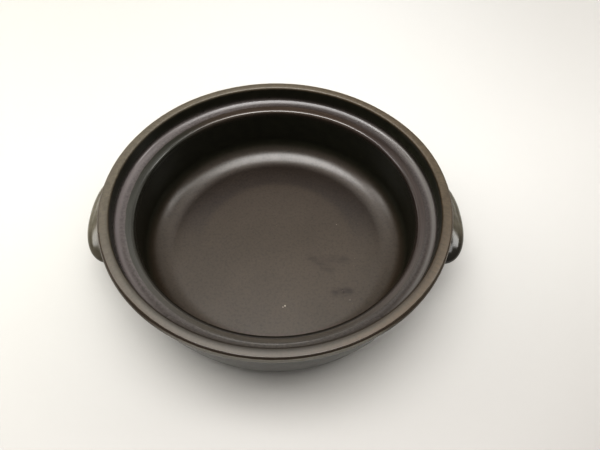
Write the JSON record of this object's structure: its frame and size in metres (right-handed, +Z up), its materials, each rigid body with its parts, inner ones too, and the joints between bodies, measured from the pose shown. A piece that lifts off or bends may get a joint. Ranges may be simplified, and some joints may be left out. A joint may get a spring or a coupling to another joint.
{
  "type": "casserole dish",
  "caption": "Round open stoneware casserole dish with a flat floor, coved wall, stepped gallery below the rolled rim for a lid, foot ring and solid lug handles on opposite sides.",
  "frame": {"origin": "centre of the plane that the foot ring stands on", "axes": "+Z up along the dish axis, +X through the right-hand lug handle, -Y towards the viewer"},
  "size_m": [0.27, 0.24, 0.0733],
  "materials": {
    "bowl_glaze": "satin",
    "lug_glaze": "gloss",
    "slip_glaze": "satin"
  },
  "bodies": {
    "root": {"bowl": "bowl_glaze", "lug_handle_left": "lug_glaze", "lug_handle_right": "lug_glaze", "luting_slip_left": "slip_glaze", "luting_slip_right": "slip_glaze"}
  },
  "joints": []
}
